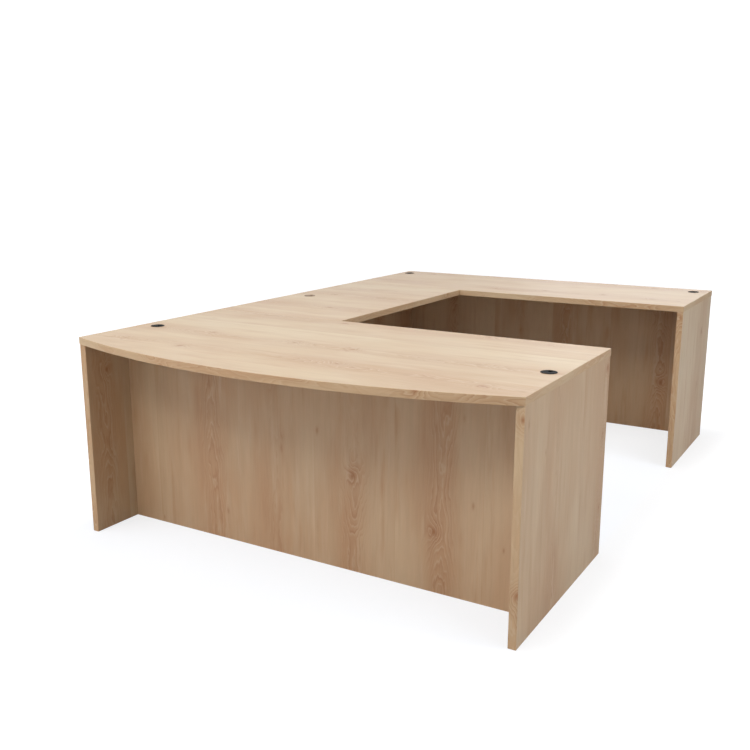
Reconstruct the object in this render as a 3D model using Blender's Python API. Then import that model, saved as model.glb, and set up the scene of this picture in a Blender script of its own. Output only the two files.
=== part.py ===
"""U-shaped bow-front teacher desk: a desk shell with a bowed front, a bridge, and a credenza shell.

Metres, +Z up. The floor is Z = 0 and the origin is the middle of the footprint.
The bowed visitor side faces -Y, the bridge joins the two shells on the -X side,
and the bay between them, where the user sits, opens towards +X.
"""

import math

import bmesh
import bpy
from mathutils import Vector

INCH = 0.0254
MM = 0.001

# Driving dimensions
WIDTH = 66.0 * INCH
DESK_DEPTH = 30.0 * INCH  # at both ends of the bow
BOW = 5.5 * INCH  # how far the middle of the front edge stands out past its ends
BRIDGE_LENGTH = 42.0 * INCH
BRIDGE_DEPTH = 24.0 * INCH
CREDENZA_DEPTH = 24.0 * INCH
HEIGHT = 28.75 * INCH
BOARD = 1.0 * INCH  # tops and end panels
THIN_BOARD = 0.75 * INCH  # modesty panels and back
BAND = 2.0 * MM  # edge band thickness
BAND_ARRIS = 1.2 * MM  # radius along a band's two outer edges
GAP = 0.3 * MM  # between neighbouring pieces
PANEL_INSET = 1.0 * MM  # an end panel's faces behind the edges of the top above it
MODESTY_SETBACK = 7.9 * INCH  # front corners of the desk to the modesty panel
BRIDGE_MODESTY_HEIGHT = 14.0 * INCH
BRIDGE_MODESTY_SETBACK = 1.25 * INCH
BACK_SETBACK = 0.125 * INCH

# Where each cable grommet's axis is, as distances from the edges of its top
DESK_GROMMET_FROM_LEFT = 3.0 * INCH
DESK_GROMMET_FROM_RIGHT = 2.0 * INCH
DESK_GROMMET_FROM_FRONT = 12.25 * INCH
BRIDGE_GROMMET_FROM_LEFT = 3.85 * INCH
BRIDGE_GROMMET_FROM_FRONT = 20.55 * INCH
CREDENZA_GROMMET_FROM_LEFT = 2.2 * INCH
CREDENZA_GROMMET_FROM_RIGHT = 2.6 * INCH
CREDENZA_GROMMET_FROM_REAR = 4.15 * INCH

# A grommet's sleeve and cap
FLANGE_RADIUS = 25.4 * MM
FLANGE_TOP = 1.8 * MM
SLEEVE_RADIUS = 23.0 * MM
SLEEVE_BORE_RADIUS = 20.9 * MM
SLEEVE_LENGTH = 22.0 * MM
SEAT_RADIUS = 21.9 * MM  # the recess that holds the cap
SEAT_DEPTH = 0.9 * MM
CAP_RADIUS = 21.5 * MM
CAP_TOP = 1.4 * MM
CAP_EDGE = 0.5 * MM
SKIRT_RADIUS = 20.5 * MM
SKIRT_BORE_RADIUS = 18.9 * MM
SKIRT_LENGTH = 8.0 * MM
SLOT_WIDTH = 13.0 * MM
SLOT_REACH = 9.0 * MM  # cap axis to the centre of the slot's round end

# Levelling glides, each in the bottom edge of an end panel
GLIDE_FROM_END = 2.5 * INCH
GLIDE_CLEARANCE = 0.5 * MM  # floor to the foot pad when the glide is screwed right in
PAD_RADIUS = 9.5 * MM
PAD_THICKNESS = 5.2 * MM
PAD_EDGE = 1.2 * MM
SOCKET_RADIUS = 4.4 * MM
SOCKET_FLOOR = 2.0 * MM
STEM_RADIUS = 4.0 * MM
STEM_TOP = 40.0 * MM
COLLAR_APOTHEM = 6.5 * MM
COLLAR_HEIGHT = 3.0 * MM
COUNTERBORE_RADIUS = 10.5 * MM
COUNTERBORE_DEPTH = 9.6 * MM
STEM_BORE_RADIUS = 4.4 * MM
STEM_BORE_DEPTH = 45.0 * MM

# Flat plates screwed under the seams between the tops
PLATE_LENGTH = 120.0 * MM
PLATE_WIDTH = 28.0 * MM
PLATE_THICKNESS = 2.0 * MM
PLATE_HOLE_RADIUS = 2.6 * MM
PLATE_HOLE_SPACINGS = (-48.0 * MM, -20.0 * MM, 20.0 * MM, 48.0 * MM)
PLATE_FROM_OUTSIDE = 5.0 * INCH
PLATE_FROM_INSIDE = 3.0 * INCH

BOW_SEGMENTS = 40
ROUND_SEGMENTS = 28
GLIDE_SEGMENTS = 18
STEM_SEGMENTS = 12
HOLE_SEGMENTS = 12
SLOT_END_SEGMENTS = 8
OVERSHOOT = 5.0 * MM  # how far a cutter passes the face it cuts

# Places that follow from the driving dimensions
SIDE = WIDTH / 2
TOTAL_DEPTH = BOW + DESK_DEPTH + BRIDGE_LENGTH + CREDENZA_DEPTH
BOW_TIP = -TOTAL_DEPTH / 2
DESK_FRONT = BOW_TIP + BOW
DESK_REAR = DESK_FRONT + DESK_DEPTH
CREDENZA_FRONT = DESK_REAR + BRIDGE_LENGTH
CREDENZA_REAR = CREDENZA_FRONT + CREDENZA_DEPTH
BRIDGE_INSIDE = -SIDE + BRIDGE_DEPTH
BOW_RADIUS = (SIDE**2 + BOW**2) / (2 * BOW)
UNDERSIDE = HEIGHT - BOARD
PANEL_HEIGHT = UNDERSIDE - GAP
PANEL_OUTSIDE = SIDE - PANEL_INSET
PANEL_INSIDE = PANEL_OUTSIDE - BOARD
EDGE_ALLOWANCE = BAND + GAP  # board edge to the outside of its band


def clear_scene():
    for old in list(bpy.data.objects):
        bpy.data.objects.remove(old, do_unlink=True)


def make_material(name, colour, roughness, metallic=0.0):
    material = bpy.data.materials.new(name)
    material.use_nodes = True
    shader = material.node_tree.nodes["Principled BSDF"]
    shader.inputs["Base Color"].default_value = (*colour, 1.0)
    shader.inputs["Roughness"].default_value = roughness
    shader.inputs["Metallic"].default_value = metallic
    return material


def make_empty(name, location=(0.0, 0.0, 0.0), parent=None):
    empty = bpy.data.objects.new(name, None)
    empty.location = location
    empty.parent = parent
    bpy.context.collection.objects.link(empty)
    return empty


def add_loft(mesh, rings, hollow=False):
    """Skin a row of equal rings. Its ends are capped, or a hollow one joins its last ring to its first."""
    rows = [[mesh.verts.new(point) for point in ring] for ring in rings]
    following = rows[1:] + rows[:1] if hollow else rows[1:]
    for low, high in zip(rows, following):
        for first in range(len(low)):
            second = (first + 1) % len(low)
            mesh.faces.new((low[first], low[second], high[second], high[first]))
    if not hollow:
        mesh.faces.new(tuple(reversed(rows[0])))
        mesh.faces.new(rows[-1])


def make_solid(name, lofts, material=None, location=(0.0, 0.0, 0.0), parent=None, hollow=False):
    """Build one object from one or more lofts, shaded smooth where its faces meet gently."""
    mesh = bmesh.new()
    for rings in lofts:
        add_loft(mesh, rings, hollow)
    bmesh.ops.recalc_face_normals(mesh, faces=mesh.faces)
    data = bpy.data.meshes.new(name)
    mesh.to_mesh(data)
    mesh.free()
    data.shade_smooth()
    data.set_sharp_from_angle(angle=math.radians(30.0))
    if material:
        data.materials.append(material)
    solid = bpy.data.objects.new(name, data)
    solid.location = location
    solid.parent = parent
    bpy.context.collection.objects.link(solid)
    return solid


def cut(target, name, lofts, location=(0.0, 0.0, 0.0), parent=None):
    """Cut the lofts out of the target with a hidden cutter."""
    cutter = make_solid(name, lofts, location=location, parent=parent)
    cutter.hide_render = True
    cutter.display_type = "WIRE"
    boolean = target.modifiers.new(name, "BOOLEAN")
    boolean.operation = "DIFFERENCE"
    boolean.object = cutter


def circle(radius, height, segments, centre=(0.0, 0.0)):
    turns = [2 * math.pi * step / segments for step in range(segments)]
    return [
        (centre[0] + radius * math.cos(turn), centre[1] + radius * math.sin(turn), height)
        for turn in turns
    ]


def hexagon(apothem, height, segments):
    """A hexagon drawn with the same number of points as the circles it is lofted to."""
    ring = []
    for step in range(segments):
        turn = 2 * math.pi * step / segments
        off_flat = (turn + math.pi / 6) % (math.pi / 3) - math.pi / 6
        radius = apothem / math.cos(off_flat)
        ring.append((radius * math.cos(turn), radius * math.sin(turn), height))
    return ring


def turned(profile, segments, centre=(0.0, 0.0)):
    return [circle(radius, height, segments, centre) for radius, height in profile]


def block(low, high):
    """The two rings of a rectangular board, from its low corner to its high corner."""
    outline = [(low[0], low[1]), (high[0], low[1]), (high[0], high[1]), (low[0], high[1])]
    return [[(x, y, z) for x, y in outline] for z in (low[2], high[2])]


def bow_y(x, inset=0.0):
    """The bowed edge at x, or a line parallel to it that far inside."""
    return BOW_TIP + BOW_RADIUS - math.sqrt((BOW_RADIUS - inset) ** 2 - x**2)


def bow_stations(reach):
    return [-reach + 2 * reach * step / BOW_SEGMENTS for step in range(BOW_SEGMENTS + 1)]


def band_section():
    """A band's section: how far out of the board, and how far across the board's thickness."""
    middle = BAND_ARRIS * (1 - math.sqrt(0.5))
    lower = [
        (0.0, 0.0),
        (BAND - BAND_ARRIS, 0.0),
        (BAND - middle, middle),
        (BAND, BAND_ARRIS),
    ]
    upper = [(out, BOARD - across) for out, across in reversed(lower)]
    return lower + upper


def straight_band(name, start, run, outward, across, parent):
    """A band along a straight edge, from its inner corner at the start of the edge."""
    rings = []
    for end in (Vector(start), Vector(start) + Vector(run)):
        rings.append([end + Vector(outward) * out + Vector(across) * up for out, up in band_section()])
    return make_solid(name, [rings], BAND_LAMINATE, parent=parent)


def long_bands(top, left, right, front, rear, parent):
    """The bands along a rectangular top's front and rear edges, over its whole width."""
    run = (right - left, 0, 0)
    straight_band(f"{top}_band_front", (left, front + BAND, UNDERSIDE), run, (0, -1, 0), (0, 0, 1), parent)
    straight_band(f"{top}_band_rear", (left, rear - BAND, UNDERSIDE), run, (0, 1, 0), (0, 0, 1), parent)


def short_bands(top, left, right, front, rear, parent):
    """The bands along a rectangular top's sides, between its front and rear bands."""
    start = front + EDGE_ALLOWANCE
    run = (0, rear - front - 2 * EDGE_ALLOWANCE, 0)
    straight_band(f"{top}_band_left", (left + BAND, start, UNDERSIDE), run, (-1, 0, 0), (0, 0, 1), parent)
    straight_band(f"{top}_band_right", (right - BAND, start, UNDERSIDE), run, (1, 0, 0), (0, 0, 1), parent)


def rectangular_top(name, left, right, front, rear, parent):
    """A rectangular top with its four edge bands."""
    low = (left + EDGE_ALLOWANCE, front + EDGE_ALLOWANCE, UNDERSIDE)
    high = (right - EDGE_ALLOWANCE, rear - EDGE_ALLOWANCE, HEIGHT)
    top = make_solid(name, [block(low, high)], LAMINATE, parent=parent)
    long_bands(name, left, right, front, rear, parent)
    short_bands(name, left, right, front, rear, parent)
    return top


def bowed_top(parent):
    """The desk top: its front edge is an arc through the two front corners."""
    reach = SIDE - EDGE_ALLOWANCE
    outline = [(x, bow_y(x, EDGE_ALLOWANCE)) for x in bow_stations(reach)]
    outline += [(reach, DESK_REAR - EDGE_ALLOWANCE), (-reach, DESK_REAR - EDGE_ALLOWANCE)]
    rings = [[(x, y, z) for x, y in outline] for z in (UNDERSIDE, HEIGHT)]
    return make_solid("desk_top", [rings], LAMINATE, parent=parent)


def bowed_band(parent):
    rings = []
    for x in bow_stations(SIDE):
        rings.append([(x, bow_y(x, BAND - out), UNDERSIDE + up) for out, up in band_section()])
    make_solid("desk_top_band_front", [rings], BAND_LAMINATE, parent=parent)


def desk_side_band(name, hand, parent):
    """A side band of the desk top, whose front end follows the inside of the bowed band."""
    rear = DESK_REAR - EDGE_ALLOWANCE
    front_ring = []
    rear_ring = []
    for out, up in band_section():
        x = hand * (SIDE - BAND + out)
        front_ring.append((x, bow_y(x, EDGE_ALLOWANCE), UNDERSIDE + up))
        rear_ring.append((x, rear, UNDERSIDE + up))
    make_solid(name, [[front_ring, rear_ring]], BAND_LAMINATE, parent=parent)


def end_panel(name, hand, front, rear, parent):
    """A full-height end panel with its two bands, bored from below for its two glides."""
    inside, outside = sorted((hand * PANEL_INSIDE, hand * PANEL_OUTSIDE))
    low = (inside, front + EDGE_ALLOWANCE, 0.0)
    high = (outside, rear - EDGE_ALLOWANCE, PANEL_HEIGHT)
    panel = make_solid(name, [block(low, high)], LAMINATE, parent=parent)
    run = (0, 0, PANEL_HEIGHT)
    straight_band(f"{name}_band_front", (inside, front + BAND, 0), run, (0, -1, 0), (1, 0, 0), parent)
    straight_band(f"{name}_band_rear", (inside, rear - BAND, 0), run, (0, 1, 0), (1, 0, 0), parent)

    bore = [
        (COUNTERBORE_RADIUS, -OVERSHOOT),
        (COUNTERBORE_RADIUS, COUNTERBORE_DEPTH),
        (STEM_BORE_RADIUS, COUNTERBORE_DEPTH),
        (STEM_BORE_RADIUS, STEM_BORE_DEPTH),
    ]
    middle = (inside + outside) / 2
    places = {"front": (middle, front + GLIDE_FROM_END), "rear": (middle, rear - GLIDE_FROM_END)}
    cut(panel, f"{name}_bores", [turned(bore, GLIDE_SEGMENTS, place) for place in places.values()])
    for end, place in places.items():
        levelling_glide(name.replace("end_panel", "glide") + "_" + end, place, parent)


def levelling_glide(name, place, parent):
    """A foot pad on a threaded stem: the stem screws up and down in the panel and turns in the pad."""
    axis = make_empty(name, (*place, GLIDE_CLEARANCE), parent)
    shoulder = PAD_RADIUS - PAD_EDGE
    pad = [
        (shoulder, 0.0),
        (PAD_RADIUS, PAD_EDGE),
        (PAD_RADIUS, PAD_THICKNESS - PAD_EDGE),
        (shoulder, PAD_THICKNESS),
        (SOCKET_RADIUS, PAD_THICKNESS),
        (SOCKET_RADIUS, SOCKET_FLOOR),
    ]
    make_solid(f"{name}_pad", [turned(pad, GLIDE_SEGMENTS)], GLIDE_NYLON, parent=axis)
    collar_low = PAD_THICKNESS + GAP
    collar_high = collar_low + COLLAR_HEIGHT
    stem = [
        circle(STEM_RADIUS, SOCKET_FLOOR + GAP, STEM_SEGMENTS),
        circle(STEM_RADIUS, collar_low, STEM_SEGMENTS),
        hexagon(COLLAR_APOTHEM, collar_low, STEM_SEGMENTS),
        hexagon(COLLAR_APOTHEM, collar_high, STEM_SEGMENTS),
        circle(STEM_RADIUS, collar_high, STEM_SEGMENTS),
        circle(STEM_RADIUS, STEM_TOP, STEM_SEGMENTS),
    ]
    make_solid(f"{name}_stem", [stem], ZINC_STEEL, parent=axis)


def grommet(name, place, top, plastic, parent):
    """A flanged sleeve in a hole through the top, with a slotted cap that turns in it."""
    hole = [(SLEEVE_RADIUS + GAP, -BOARD - OVERSHOOT), (SLEEVE_RADIUS + GAP, OVERSHOOT)]
    axis = make_empty(name, (*place, HEIGHT), parent)
    cut(top, f"{name}_hole", [turned(hole, ROUND_SEGMENTS)], parent=axis)
    sleeve = [
        (SLEEVE_BORE_RADIUS, -SLEEVE_LENGTH),
        (SLEEVE_RADIUS, -SLEEVE_LENGTH),
        (SLEEVE_RADIUS, GAP),
        (FLANGE_RADIUS, GAP),
        (FLANGE_RADIUS, FLANGE_TOP / 2),
        (FLANGE_RADIUS - FLANGE_TOP / 2, FLANGE_TOP),
        (SEAT_RADIUS, FLANGE_TOP),
        (SEAT_RADIUS, -SEAT_DEPTH),
        (SLEEVE_BORE_RADIUS, -SEAT_DEPTH),
    ]
    make_solid(f"{name}_sleeve", [turned(sleeve, ROUND_SEGMENTS)], plastic, parent=axis, hollow=True)
    underside = GAP - SEAT_DEPTH
    cap_profile = [
        (SKIRT_BORE_RADIUS, underside),
        (SKIRT_BORE_RADIUS, -SKIRT_LENGTH),
        (SKIRT_RADIUS, -SKIRT_LENGTH),
        (SKIRT_RADIUS, underside),
        (CAP_RADIUS, underside),
        (CAP_RADIUS, CAP_TOP - CAP_EDGE),
        (CAP_RADIUS - CAP_EDGE, CAP_TOP),
    ]
    cap = make_solid(f"{name}_cap", [turned(cap_profile, ROUND_SEGMENTS)], plastic, parent=axis)
    cut(cap, f"{name}_cap_slot", [cable_slot()], parent=axis)


def cable_slot():
    """The cutter for a cap's cable slot: open at the rim towards +Y, with a round inner end."""
    half = SLOT_WIDTH / 2
    outline = [(half, CAP_RADIUS + OVERSHOOT), (-half, CAP_RADIUS + OVERSHOOT)]
    for step in range(SLOT_END_SEGMENTS + 1):
        turn = math.pi * (1 + step / SLOT_END_SEGMENTS)
        outline.append((half * math.cos(turn), SLOT_REACH + half * math.sin(turn)))
    return [[(x, y, z) for x, y in outline] for z in (-SKIRT_LENGTH - OVERSHOOT, CAP_TOP + OVERSHOOT)]


def seam_plate(name, x, seam, parent):
    """A flat steel plate under the seam between two tops, with two screw holes on each side."""
    half_width = PLATE_WIDTH / 2
    high = UNDERSIDE - GAP
    low = high - PLATE_THICKNESS
    rings = block((x - half_width, seam - PLATE_LENGTH / 2, low), (x + half_width, seam + PLATE_LENGTH / 2, high))
    plate = make_solid(name, [rings], ZINC_STEEL, parent=parent)
    hole = [(PLATE_HOLE_RADIUS, low - OVERSHOOT), (PLATE_HOLE_RADIUS, high + OVERSHOOT)]
    holes = [turned(hole, HOLE_SEGMENTS, (x, seam + spacing)) for spacing in PLATE_HOLE_SPACINGS]
    cut(plate, f"{name}_holes", holes)


def desk_shell():
    shell = make_empty("desk")
    top = bowed_top(shell)
    bowed_band(shell)
    desk_side_band("desk_top_band_left", -1, shell)
    desk_side_band("desk_top_band_right", 1, shell)
    rear_start = (-SIDE, DESK_REAR - BAND, UNDERSIDE)
    straight_band("desk_top_band_rear", rear_start, (WIDTH, 0, 0), (0, 1, 0), (0, 0, 1), shell)
    front = DESK_FRONT + PANEL_INSET
    rear = DESK_REAR - PANEL_INSET
    end_panel("desk_end_panel_left", -1, front, rear, shell)
    end_panel("desk_end_panel_right", 1, front, rear, shell)
    reach = PANEL_INSIDE - GAP
    modesty = DESK_FRONT + MODESTY_SETBACK
    rings = block((-reach, modesty, 0.0), (reach, modesty + THIN_BOARD, PANEL_HEIGHT))
    make_solid("desk_modesty_panel", [rings], LAMINATE, parent=shell)
    grommet_y = DESK_FRONT + DESK_GROMMET_FROM_FRONT
    grommet("desk_grommet_left", (-SIDE + DESK_GROMMET_FROM_LEFT, grommet_y), top, BLACK_PLASTIC, shell)
    grommet("desk_grommet_right", (SIDE - DESK_GROMMET_FROM_RIGHT, grommet_y), top, BLACK_PLASTIC, shell)


def bridge():
    shell = make_empty("bridge")
    front = DESK_REAR + GAP
    rear = CREDENZA_FRONT - GAP
    top = rectangular_top("bridge_top", -SIDE, BRIDGE_INSIDE, front, rear, shell)
    modesty = -SIDE + BRIDGE_MODESTY_SETBACK
    low = (modesty, front, PANEL_HEIGHT - BRIDGE_MODESTY_HEIGHT)
    rings = block(low, (modesty + THIN_BOARD, rear, PANEL_HEIGHT))
    make_solid("bridge_modesty_panel", [rings], LAMINATE, parent=shell)
    grommet_place = (-SIDE + BRIDGE_GROMMET_FROM_LEFT, DESK_REAR + BRIDGE_GROMMET_FROM_FRONT)
    grommet("bridge_grommet", grommet_place, top, TAUPE_PLASTIC, shell)
    for seam_name, seam in (("desk", DESK_REAR), ("credenza", CREDENZA_FRONT)):
        seam_plate(f"{seam_name}_seam_plate_outer", -SIDE + PLATE_FROM_OUTSIDE, seam, shell)
        seam_plate(f"{seam_name}_seam_plate_inner", BRIDGE_INSIDE - PLATE_FROM_INSIDE, seam, shell)


def credenza_shell():
    shell = make_empty("credenza")
    top = rectangular_top("credenza_top", -SIDE, SIDE, CREDENZA_FRONT, CREDENZA_REAR, shell)
    front = CREDENZA_FRONT + PANEL_INSET
    rear = CREDENZA_REAR - PANEL_INSET
    end_panel("credenza_end_panel_left", -1, front, rear, shell)
    end_panel("credenza_end_panel_right", 1, front, rear, shell)
    reach = PANEL_INSIDE - GAP
    back = CREDENZA_REAR - BACK_SETBACK
    rings = block((-reach, back - THIN_BOARD, 0.0), (reach, back, PANEL_HEIGHT))
    make_solid("credenza_back_panel", [rings], LAMINATE, parent=shell)
    grommet_y = CREDENZA_REAR - CREDENZA_GROMMET_FROM_REAR
    grommet("credenza_grommet_left", (-SIDE + CREDENZA_GROMMET_FROM_LEFT, grommet_y), top, BLACK_PLASTIC, shell)
    grommet("credenza_grommet_right", (SIDE - CREDENZA_GROMMET_FROM_RIGHT, grommet_y), top, BLACK_PLASTIC, shell)


clear_scene()
LAMINATE = make_material("maple_laminate", (0.66, 0.50, 0.35), 0.45)
BAND_LAMINATE = make_material("maple_edge_band", (0.58, 0.40, 0.25), 0.5)
BLACK_PLASTIC = make_material("black_plastic", (0.02, 0.02, 0.022), 0.4)
TAUPE_PLASTIC = make_material("taupe_plastic", (0.30, 0.22, 0.17), 0.5)
GLIDE_NYLON = make_material("glide_nylon", (0.04, 0.04, 0.04), 0.55)
ZINC_STEEL = make_material("zinc_steel", (0.60, 0.61, 0.62), 0.35, metallic=1.0)
desk_shell()
bridge()
credenza_shell()
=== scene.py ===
"""Looks of the U-shaped bow-front teacher desk: maple laminate, edge bands, grommets, glides and fixings."""

import math

import bmesh
import bpy
from mathutils import Matrix, Vector


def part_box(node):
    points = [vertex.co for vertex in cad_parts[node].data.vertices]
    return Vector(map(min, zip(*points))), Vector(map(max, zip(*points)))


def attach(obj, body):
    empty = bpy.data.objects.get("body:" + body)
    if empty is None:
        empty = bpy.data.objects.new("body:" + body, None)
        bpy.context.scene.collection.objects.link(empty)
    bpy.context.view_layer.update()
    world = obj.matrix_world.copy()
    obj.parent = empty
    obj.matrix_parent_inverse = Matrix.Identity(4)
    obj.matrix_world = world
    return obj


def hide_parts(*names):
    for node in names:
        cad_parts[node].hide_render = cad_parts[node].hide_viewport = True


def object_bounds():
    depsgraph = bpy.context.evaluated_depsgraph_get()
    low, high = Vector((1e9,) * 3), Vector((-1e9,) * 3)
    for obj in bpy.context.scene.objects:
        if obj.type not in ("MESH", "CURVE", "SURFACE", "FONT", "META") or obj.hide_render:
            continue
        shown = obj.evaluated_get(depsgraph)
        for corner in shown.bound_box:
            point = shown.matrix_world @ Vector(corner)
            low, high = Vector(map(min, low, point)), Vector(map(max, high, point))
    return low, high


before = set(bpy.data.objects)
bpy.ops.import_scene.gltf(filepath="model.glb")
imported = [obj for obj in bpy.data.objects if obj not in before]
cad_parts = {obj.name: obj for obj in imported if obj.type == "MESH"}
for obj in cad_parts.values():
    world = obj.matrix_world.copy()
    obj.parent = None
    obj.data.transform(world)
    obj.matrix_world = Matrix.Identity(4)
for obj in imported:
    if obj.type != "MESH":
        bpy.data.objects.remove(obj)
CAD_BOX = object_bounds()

MM = 0.001
ROOT = "frame"

# Laminate colours, linear RGB
PALE_MAPLE = (0.588, 0.436, 0.292)
TAN_MAPLE = (0.489, 0.300, 0.176)
ROSY_STREAK = (0.450, 0.252, 0.138)
RING_LINE = (0.345, 0.150, 0.066)
WHITISH_STREAK = (0.610, 0.462, 0.325)
KNOT_BROWN = (0.310, 0.118, 0.044)
CORE_LIGHT = (0.420, 0.290, 0.175)
CORE_DARK = (0.190, 0.115, 0.060)
BAND_LIGHT_TINT = (1.09, 1.15, 1.14)  # painted light: lightens the bands' print to stand in for the extra light on their faces

PLANKS_PER_METRE = 3.0
RING_WIDTH = 9.5 * MM  # between growth rings, far from a plank's heart
HEART_REACH = 40.0 * MM  # how far from the heart its rings show
KNOTS_PER_METRE = 3.6  # places along a heart where a knot may sit
KNOT_REACH = 30.0 * MM  # how far a knot bends the rings round it
BAND_HALF = 12.7 * MM  # half a band's width
SHARP_ANGLE = 35.0  # degrees between two faces, above which their edge is drawn sharp

# The camera's place, in metres, its heading and dip, in degrees, and its lens, in millimetres
CAMERA_AT = (1.6664, -3.3054, 1.3133)
CAMERA_HEADING = -30.811
CAMERA_DIP = 12.955
CAMERA_LENS = 43.255


class Graph:
    """Adds nodes to one node tree and joins them."""

    def __init__(self, tree):
        self.tree = tree

    def add(self, kind, inputs=None, **settings):
        node = self.tree.nodes.new("ShaderNode" + kind)
        for name, value in settings.items():
            setattr(node, name, value)
        for name, value in (inputs or {}).items():
            self.feed(node.inputs[name], value)
        return node

    def feed(self, socket, value):
        if isinstance(value, bpy.types.NodeSocket):
            self.tree.links.new(value, socket)
        else:
            socket.default_value = value

    def math(self, operation, *values):
        node = self.add("Math", operation=operation)
        for socket, value in zip(node.inputs, values):
            self.feed(socket, value)
        return node.outputs[0]

    def times(self, *values):
        product = values[0]
        for value in values[1:]:
            product = self.math("MULTIPLY", product, value)
        return product

    def plus(self, *values):
        total = values[0]
        for value in values[1:]:
            total = self.math("ADD", total, value)
        return total

    def vector(self, x, y, z=0.0):
        return self.add("CombineXYZ", {"X": x, "Y": y, "Z": z}).outputs[0]

    def scaled(self, parts, per_metre):
        """The three parts of a place, in metres, as a vector for a texture with that many cells a metre."""
        return self.vector(*(self.times(part, per_metre) for part in parts))

    def parts(self, vector):
        return self.add("SeparateXYZ", {"Vector": vector}).outputs

    def noise(self, vector, detail=2.0, roughness=0.5):
        inputs = {"Vector": vector, "Scale": 1.0, "Detail": detail, "Roughness": roughness}
        return self.add("TexNoise", inputs).outputs[0]

    def cells(self, vector):
        """Scattered points: the distance to the nearest one, and three random numbers of its own."""
        node = self.add("TexVoronoi", {"Vector": vector, "Scale": 1.0})
        return node.outputs["Distance"], self.random_of(node)

    def random_of(self, node):
        return self.add("SeparateColor", {"Color": node.outputs["Color"]}).outputs

    def smooth(self, value, low, high):
        """0 below low and 1 above high, with a soft step between them."""
        inputs = {"Value": value, "From Min": low, "From Max": high}
        return self.add("MapRange", inputs, interpolation_type="SMOOTHSTEP").outputs[0]

    def bell(self, value, width):
        """1 where value is 0, falling to nothing a couple of widths away."""
        share = self.times(value, 1.0 / width)
        return self.math("EXPONENT", self.times(share, share, -1.0))

    def mix(self, share, a, b, blend="MIX"):
        node = self.add("Mix", data_type="RGBA", blend_type=blend, clamp_factor=True)
        self.feed(node.inputs[0], share)
        for socket, colour in ((node.inputs[6], a), (node.inputs[7], b)):
            self.feed(socket, (*colour, 1.0) if isinstance(colour, tuple) else colour)
        return node.outputs[2]

    def grey(self, value):
        return self.add("CombineColor", {"Red": value, "Green": value, "Blue": value}).outputs[0]


def new_group(name, inputs, outputs):
    """A node group with number inputs: its graph, and the sockets that lead into and out of it."""
    tree = bpy.data.node_groups.new(name, "ShaderNodeTree")
    for label in inputs:
        tree.interface.new_socket(label, in_out="INPUT", socket_type="NodeSocketFloat")
    for label, kind in outputs:
        tree.interface.new_socket(label, in_out="OUTPUT", socket_type=kind)
    graph = Graph(tree)
    entry = tree.nodes.new("NodeGroupInput").outputs
    leave = tree.nodes.new("NodeGroupOutput").inputs
    return graph, entry, leave


def length(graph, x, y):
    """How far a point is from the origin."""
    return graph.math("SQRT", graph.plus(graph.times(x, x), graph.times(y, y)))


def knot_field(graph, along, heart):
    """Knots strung along a heart. Returns whether one is here, the distance to its middle and its
    random numbers."""
    places = {"W": along, "Scale": KNOTS_PER_METRE, "Randomness": 0.95}
    knots = graph.add("TexVoronoi", places, voronoi_dimensions="1D")
    random = graph.random_of(knots)
    off_along = graph.plus(along, graph.times(knots.outputs["W"], -1.0))
    off_across = graph.plus(heart, graph.times(graph.plus(random[1], -0.5), 0.08))
    here = graph.smooth(random[0], 0.42, 0.44)
    return here, length(graph, graph.times(off_along, 0.72), off_across), random


def ring_lines(graph, along, across, heart, depth, tone, knot_bump):
    """Growth rings: nested arches along the heart and closed eyes round the knots. Returns the dark
    late wood and the pale line beside it."""
    to_pith = length(graph, heart, depth)
    climb = graph.times(along, graph.plus(graph.times(tone, 28.0), -14.0))
    slow = graph.vector(graph.times(along, 3.4), graph.times(tone, 9.0), 1.5)
    swell = graph.times(graph.noise(slow, 1.0), 13.0)
    drag = graph.vector(graph.times(along, 13.0), graph.times(across, 52.0), 2.5)
    wobble = graph.times(graph.noise(drag, 2.0), 2.3)
    rings = graph.plus(graph.times(to_pith, 1.0 / RING_WIDTH), climb, swell, wobble, knot_bump)
    phase = graph.math("FRACT", rings)
    number = graph.math("FLOOR", rings)
    strength = graph.add("TexWhiteNoise", {"W": number}, noise_dimensions="1D").outputs[0]
    strength = graph.plus(0.30, graph.times(strength, 0.70))
    dark = graph.bell(graph.plus(phase, -0.50), 0.18)
    soft = graph.times(graph.smooth(phase, 0.05, 0.50), graph.smooth(phase, 0.62, 0.50))
    pale = graph.bell(graph.plus(phase, -0.72), 0.11)
    return graph.times(graph.plus(graph.times(dark, 0.6), graph.times(soft, 0.4)), strength), pale


def fleck_field(graph, place, share, least, spread):
    """Soft marks at that share of a scatter of points. Their sizes are in spacings of the scatter."""
    distance, random = graph.cells(place)
    size = graph.plus(least, graph.times(random[1], spread))
    return graph.times(
        graph.smooth(random[0], 1.0 - share, 1.005 - share),
        graph.bell(graph.math("DIVIDE", distance, size), 1.0),
    )


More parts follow.
